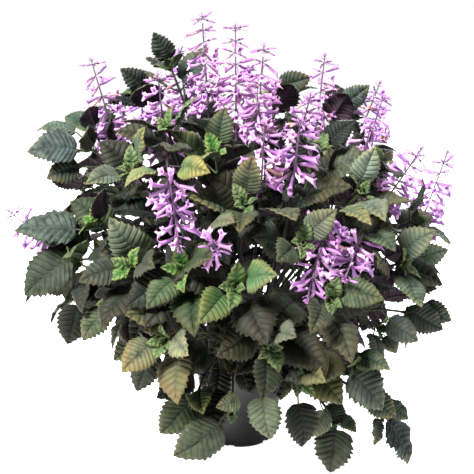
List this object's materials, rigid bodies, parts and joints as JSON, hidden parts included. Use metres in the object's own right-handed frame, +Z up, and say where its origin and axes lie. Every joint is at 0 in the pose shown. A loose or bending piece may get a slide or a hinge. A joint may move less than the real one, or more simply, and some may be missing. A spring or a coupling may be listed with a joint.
{
  "type": "potted flowering plant",
  "caption": "Bushy potted foliage plant with square stems, toothed velvety leaves in crossed pairs and spikes of tubular lavender flowers, in a small round nursery pot.",
  "frame": {"origin": "middle of the flat underside of the pot, where the plant stands", "axes": "+Z up; -Y towards the side the picture shows; +X to that viewer's right"},
  "size_m": [0.6093, 0.6119, 0.6038],
  "materials": {
    "pot_plastic": "dark charcoal polypropylene, slightly satin",
    "potting_soil": "dark damp peat mix, rough",
    "velvet_leaf": "velvety grey-green leaf with bronze patches, purple beneath, on purple-brown stems",
    "lavender_petal": "soft lavender-pink petal"
  },
  "bodies": {
    "root": {"pot": "pot_plastic", "soil": "potting_soil", "leafy_stem_01": "velvet_leaf", "leafy_stem_02": "velvet_leaf", "leafy_stem_03": "velvet_leaf", "leafy_stem_04": "velvet_leaf", "leafy_stem_05": "velvet_leaf", "leafy_stem_06": "velvet_leaf", "leafy_stem_07": "velvet_leaf", "leafy_stem_08": "velvet_leaf", "leafy_stem_09": "velvet_leaf", "leafy_stem_10": "velvet_leaf", "leafy_stem_11": "velvet_leaf", "leafy_stem_12": "velvet_leaf", "leafy_stem_13": "velvet_leaf", "leafy_stem_14": "velvet_leaf", "leafy_stem_15": "velvet_leaf", "leafy_stem_16": "velvet_leaf", "leafy_stem_17": "velvet_leaf", "leafy_stem_18": "velvet_leaf", "leafy_stem_19": "velvet_leaf", "flower_spike_01": "lavender_petal", "flower_spike_02": "lavender_petal", "flower_spike_03": "lavender_petal", "flower_spike_04": "lavender_petal", "flower_spike_05": "lavender_petal", "flower_spike_06": "lavender_petal", "flower_spike_07": "lavender_petal", "flower_spike_08": "lavender_petal", "flower_spike_09": "lavender_petal", "flower_spike_10": "lavender_petal", "flower_spike_11": "lavender_petal", "flower_spike_12": "lavender_petal", "flower_spike_13": "lavender_petal", "flower_spike_14": "lavender_petal", "flower_spike_15": "lavender_petal", "flower_spike_16": "lavender_petal", "flower_spike_17": "lavender_petal", "flower_spike_18": "lavender_petal", "flower_spike_19": "lavender_petal", "flower_spike_20": "lavender_petal", "flower_spike_21": "lavender_petal", "flower_spike_22": "lavender_petal", "flower_spike_23": "lavender_petal", "flower_spike_24": "lavender_petal", "flower_spike_25": "lavender_petal"}
  },
  "joints": []
}
